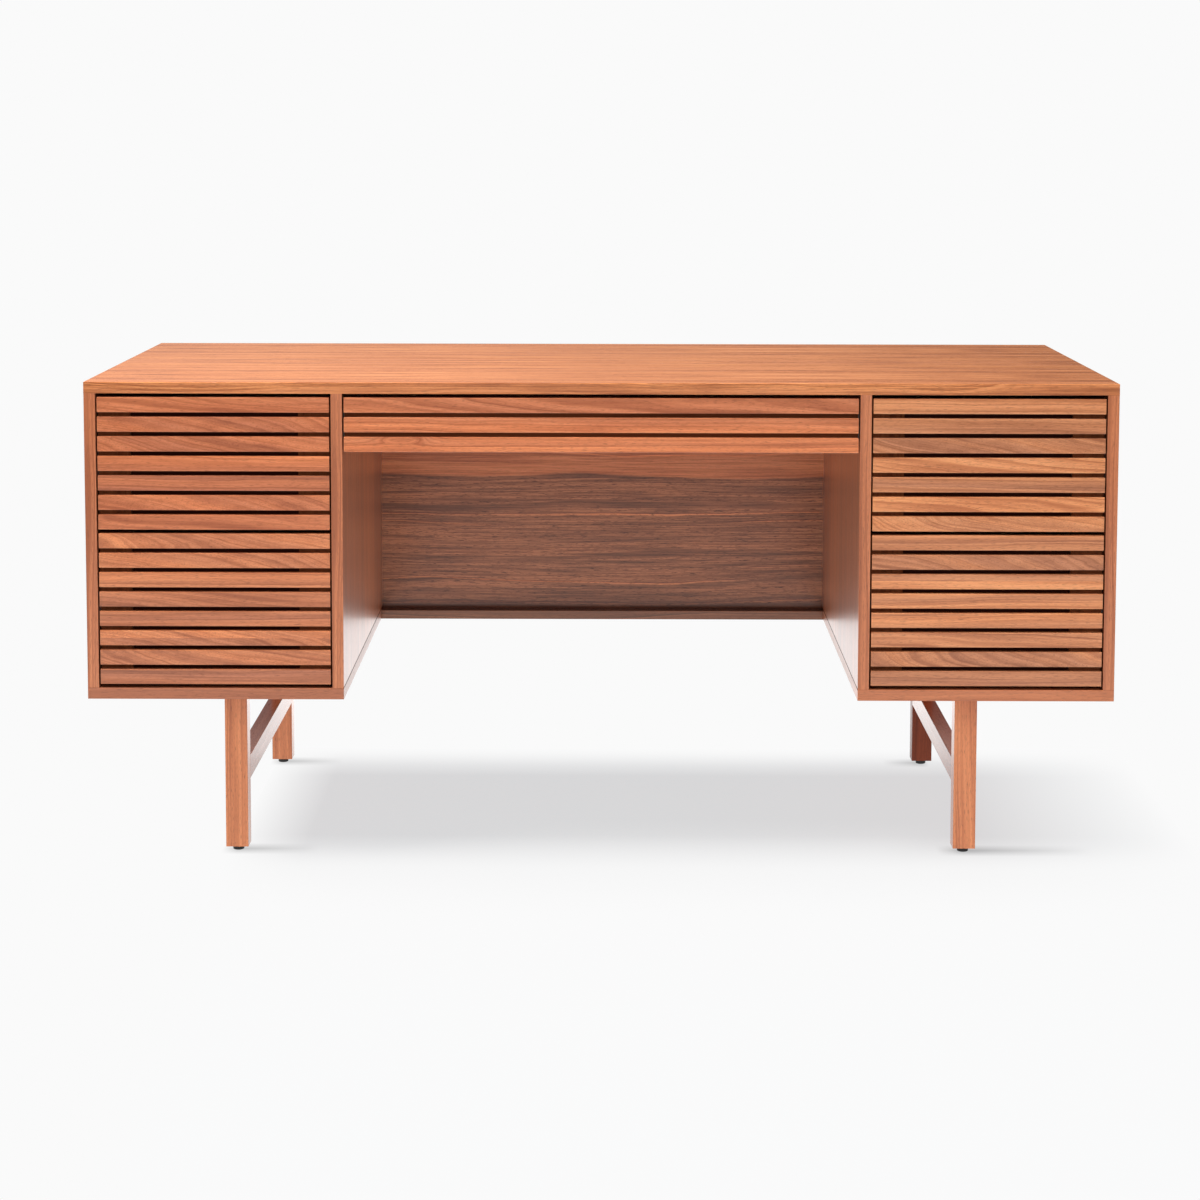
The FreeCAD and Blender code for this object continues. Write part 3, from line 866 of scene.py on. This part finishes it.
# %% Stiles behind the slats
painted_gap_shade_tones = [(0.0, (0.20, 0.062, 0.022)), (1.0, (0.08, 0.022, 0.008))]
even_share = 0.5
stile_step = 0.3
for number, drawer in enumerate(slat_plans):
    is_panel = drawer == "centre_drawer"
    name = drawer + ("_front_panel" if is_panel else "_stiles")
    material, tree = new_material(name + "_wood")
    lying = lay(tree, name, "xz" if is_panel else "zx")
    from_heart = calc_vector(tree, "SUBTRACT", lying, (stile_step * number, 0.2, 0.1))
    # Painted shade: the dark tones stand for the shade that the stiles sit in behind the slats.
    look = wood_look(tree, from_heart, even_share, {**plain_cut, "tones": (painted_gap_shade_tones, painted_gap_shade_tones)})
    lacquer(tree, *look, coat=0.0, shine=0.05)
    dress(material, name)
print("stiles dressed")

# %% [markdown]
# ## Drawer boxes, runners and feet
#
# The boxes behind the fronts are a pale, plain wood with hardly any lacquer. The front face of each box is
# darkened with a painted shade, which stands for the dark cavity that shows between the slats.

# %% Drawer boxes
pale_tones = [(0.0, (0.78, 0.62, 0.42)), (0.5, (0.69, 0.51, 0.32)), (1.0, (0.55, 0.38, 0.22))]
painted_cavity_shade = (0.045, 0.008, 0.003)
painted_shade_depth = 0.001
box_heart = (0.4, 0.3, 0.2)
front_of_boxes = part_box("left_upper_drawer_box_ends")[0].y + painted_shade_depth


def make_box_wood(name, node, lie):
    material, tree = new_material(name)
    from_heart = calc_vector(tree, "SUBTRACT", lay(tree, node, lie), box_heart)
    cut = {**plain_cut, "ring_width": 0.012, "sway": 0.04, "tones": (pale_tones, pale_tones)}
    colour, roughness, height = wood_look(tree, from_heart, even_share, cut)
    # Painted shade: the box's front face is darkened to stand for the shade behind the slats.
    painted_shade_mask = calc(tree, "LESS_THAN", split(tree, object_place(tree))[1], front_of_boxes)
    lacquer(tree, mix_colour(tree, painted_shade_mask, colour, painted_cavity_shade), roughness, height, coat=0.1, shine=0.1)
    return material


for part, lie in (("sides", "yz"), ("ends", "xz"), ("back", "xz"), ("bottom", "xy")):
    names = [name for name in nodes if name.endswith("_box_" + part)]
    dress(make_box_wood("box_" + part + "_wood", names[0], lie), *names)
dress(make_box_wood("dowel_wood", "dowels", "xz"), "dowels")
print("drawer boxes dressed")

# %% [markdown]
# The runners and bolts are plated steel and the glides under the feet are black plastic. Neither is even up
# close: plating has dull and bright patches, and moulded plastic a fine grain. One speckle makes both, coarse
# for the steel and fine for the plastic.

# %% Runners, bolts and feet
def make_speckled(name, scale, tones, roughness, metallic=0.0, bump=0.0):
    """A surface whose colour and gloss vary with a fine speckle, such as plated steel or moulded plastic."""
    material, tree = new_material(name)
    speckle = noise(tree, object_place(tree), 4.0, scale)[0]
    dents = add_node(tree, "ShaderNodeBump", {"Height": speckle, "Strength": bump, "Distance": 0.0002})
    surface = add_node(tree, "ShaderNodeBsdfPrincipled", {
        "Base Color": colour_steps(tree, speckle, list(zip(noise_range, tones))), "Metallic": metallic,
        "Roughness": spread(tree, speckle, *noise_range, *roughness), "Normal": dents.outputs[0],
    })
    add_node(tree, "ShaderNodeOutputMaterial", {0: surface.outputs[0]})
    return material


zinc = ((0.26, 0.27, 0.28), (0.40, 0.41, 0.42))
black = ((0.012, 0.012, 0.012), (0.03, 0.03, 0.03))
plated_steel = make_speckled("plated_steel", 60.0, zinc, (0.28, 0.42), metallic=1.0)
dress(plated_steel, "leg_bolts", *[name for name in nodes if name.endswith("runners")])
dress(make_speckled("black_plastic", 900.0, black, (0.4, 0.55), bump=0.2), "foot_glides")
print("runners, bolts and feet dressed")

# %% [markdown]
# ## The studio
#
# Furniture in a studio stands on a pale sweep and is lit by large soft boxes. The floor here is one wide
# sheet that runs out to the horizon, and it isn't part of the desk.

# %% Floor
floor_reach = 60.0
floor_mesh = bpy.data.meshes.new("pale_floor")
corners = [(x * floor_reach, y * floor_reach, 0) for x, y in ((-1, -1), (1, -1), (1, 1), (-1, 1))]
floor_mesh.from_pydata(corners, [], [(0, 1, 2, 3)])
floor = put("pale_floor", floor_mesh)
print("floor", 2 * floor_reach, "m wide")

# %% [markdown]
# The floor glows a little, as a brightly lit sweep lights the underside of things, but only for a few metres
# round the desk: the lacquer of the upper slats mirrors the floor far in front, which lies in the dark of
# the studio. Behind the desk it is brighter than a picture can show, and the lacquer of the kneehole's sides
# mirrors that. The camera sees the floor even all the way.

# %% Glow of the floor
lit_floor = (1.5, 5.0)
far_glow = 0.03
mirrored_floor = (5.6, 3.2)
floor_behind = (0.3, 0.9)
glow_behind = 0.68
floor_material, tree = new_material("pale_floor")
floor_mesh.materials.append(floor_material)
floor_place = object_place(tree)
to_right, to_back, _ = split(tree, floor_place)
away = add_node(tree, "ShaderNodeVectorMath", {0: floor_place}, operation="LENGTH").outputs["Value"]
paths = add_node(tree, "ShaderNodeLightPath").outputs
reached = spread(tree, away, *lit_floor, 1.0, far_glow)
mirrored = calc(tree, "MULTIPLY", spread(tree, away, *mirrored_floor), paths["Is Glossy Ray"])
lit = calc(tree, "MAXIMUM", calc(tree, "MAXIMUM", reached, mirrored), paths["Is Camera Ray"])
behind = spread(tree, to_back, *floor_behind, 0.0, glow_behind)
behind = calc(tree, "MULTIPLY", behind, calc(tree, "MULTIPLY", reached, paths["Is Glossy Ray"]))
print("glow of the floor ready")

# %% [markdown]
# So much light from all round leaves the feet without a shadow of their own, and they would seem to float.
# A short streak of shade beside each foot, in the floor's finish, sets them down.

# %% Shade beside the feet
foot_shade = 0.42
foot_shade_depth = 0.035
foot_shade_back = 0.2
foot_shade_reach = {"front_left_leg": 0.13, "front_right_leg": 0.21, "rear_left_leg": 0.11,
                    "rear_right_leg": -0.07}
for leg, reach in foot_shade_reach.items():
    low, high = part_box(leg)
    beside, before, _ = split(tree, calc_vector(tree, "SUBTRACT", floor_place, (low + high) / 2))
    streak = spread(tree, beside, reach, 0.0)
    streak = calc(tree, "MULTIPLY", streak, spread(tree, beside, -reach * foot_shade_back, 0.0))
    level_with = spread(tree, calc(tree, "ABSOLUTE", before), foot_shade_depth, 0.0)
    shade = calc(tree, "MULTIPLY", calc(tree, "MULTIPLY", streak, level_with), -foot_shade)
    lit = calc(tree, "MULTIPLY_ADD", lit, shade, lit)
print("shade beside", len(foot_shade_reach), "feet")

# %% [markdown]
# A soft sun draws the shadow under the desk, which is faded out towards its ends as a retoucher would do it,
# so only the floor near the desk takes the sun. There the floor glows less by as much as the sun adds.

# %% Shadow under the desk
floor_white = (0.956, 0.956, 0.956)
floor_shade = (0.630, 0.644, 0.659)
floor_colour = (0.22, 0.25, 0.265)
shadow_left = (-0.60, -0.48)
shadow_right = (0.97, 0.62)
shadow_back = (0.42, 0.20)
shadow_front = (-0.42, -0.22)
shadow_of_drawers = 0.3
shadow = spread(tree, to_back, *shadow_front, shadow_of_drawers, 1.0)
for place, ends in ((to_right, shadow_left), (to_right, shadow_right), (to_back, shadow_back)):
    shadow = calc(tree, "MULTIPLY", shadow, spread(tree, place, *ends))
sunlit = mix_colour(tree, calc(tree, "MULTIPLY", lit, shadow), (0, 0, 0), floor_colour)
matt = add_node(tree, "ShaderNodeBsdfDiffuse", {"Color": sunlit})
glow = mix_colour(tree, shadow, floor_white, floor_shade)
light = add_node(tree, "ShaderNodeEmission", {"Color": glow, "Strength": calc(tree, "ADD", lit, behind)})
both = add_node(tree, "ShaderNodeAddShader", {0: matt.outputs[0], 1: light.outputs[0]})
add_node(tree, "ShaderNodeOutputMaterial", {0: both.outputs[0]})
print("floor:", len(tree.nodes), "nodes")

# %% [markdown]
# The sky stands for the studio's walls and ceiling, brightest overhead. The camera sees it as white as the
# floor, so that there is no horizon. A pale card far behind the desk on the left and a dark one on the right
# are mirrored in the top, which is hazier at its left end.

# %% Sky
sky_strength = 0.4
horizon_strength = 0.15
card_edge = 0.15
card_glow = (0.1, -0.08)
world = bpy.data.worlds.new("studio")
bpy.context.scene.world = world
world.use_nodes = True
tree = world.node_tree
tree.nodes.clear()
to_right, to_back, rise = split(tree, add_node(tree, "ShaderNodeTexCoord").outputs["Generated"])
overhead = calc(tree, "MULTIPLY", rise, rise)
glow = spread(tree, overhead, 0.0, 1.0, horizon_strength, sky_strength)
cards = spread(tree, to_right, -card_edge, card_edge, *card_glow)
cards = calc(tree, "MULTIPLY", cards, calc(tree, "GREATER_THAN", to_back, 0.0))
lit = add_node(tree, "ShaderNodeBackground", {"Strength": calc(tree, "ADD", glow, cards)})
seen = add_node(tree, "ShaderNodeBackground", {"Color": floor_white})
camera_ray = add_node(tree, "ShaderNodeLightPath").outputs["Is Camera Ray"]
sky = add_node(tree, "ShaderNodeMixShader", {0: camera_ray, 1: lit.outputs[0], 2: seen.outputs[0]})
add_node(tree, "ShaderNodeOutputWorld", {0: sky.outputs[0]})
print("sky:", len(tree.nodes), "nodes")

# %% [markdown]
# Five soft boxes light the desk and leave the floor alone, so that it stays even out to the horizon. The
# sun lights the floor alone, for the shadow. Light linking does that: each lamp names a collection that says
# what it falls on. The soft boxes aren't mirrored in the lacquer.

# %% What a lamp lights
def only(name, link_state):
    """A collection that says whether a lamp lights the floor alone or everything but the floor."""
    collection = bpy.data.collections.new(name)
    collection.objects.link(floor)
    collection.collection_objects[0].light_linking.link_state = link_state
    return collection


floor_only = only("floor_only", "INCLUDE")
desk_only = only("desk_only", "EXCLUDE")
print("a lamp lights", floor_only.name, "or", desk_only.name)

# %% Lamps
sun_strength = 4.38
sun_colour = (1.0, 0.841, 0.759)
sun_width = math.radians(40.0)


def lamp(name, kind, place, target, power, receivers, mirrored):
    light = bpy.data.lights.new(name, kind)
    light.energy = power
    stand = put(name, light)
    stand.location = place
    stand.rotation_euler = (Vector(target) - Vector(place)).to_track_quat("-Z", "Y").to_euler()
    stand.light_linking.receiver_collection = receivers
    stand.visible_glossy = mirrored
    return light


def soft_box(name, place, target, size, power):
    light = lamp(name, "AREA", place, target, power, desk_only, mirrored=False)
    light.shape = "RECTANGLE"
    light.size, light.size_y = size


soft_box("key", (-2.6, -2.8, 2.9), (0.0, 0.0, 0.5), (2.2, 2.2), 35.0)
soft_box("fill", (2.8, -3.2, 2.4), (0.0, 0.0, 0.5), (2.0, 2.0), 54.0)
soft_box("front", (0.0, -4.6, 1.0), (0.0, 0.0, 0.4), (3.0, 1.6), 40.0)
soft_box("overhead", (-0.7, -0.48, 2.9), (-0.7, -0.48, 0.7), (2.0, 1.2), 165.0)
soft_box("behind", (0.8, 3.4, 2.2), (0.0, 0.4, 0.4), (3.0, 1.6), 60.0)
sun = lamp("floor_sun", "SUN", (-0.5, 0.0, 1.0), (0.0, 0.0, 0.0), sun_strength, floor_only, mirrored=True)
sun.color = sun_colour
sun.angle = sun_width
bpy.context.scene.view_settings.view_transform = "Standard"
print("lamps:", len(bpy.data.lights))
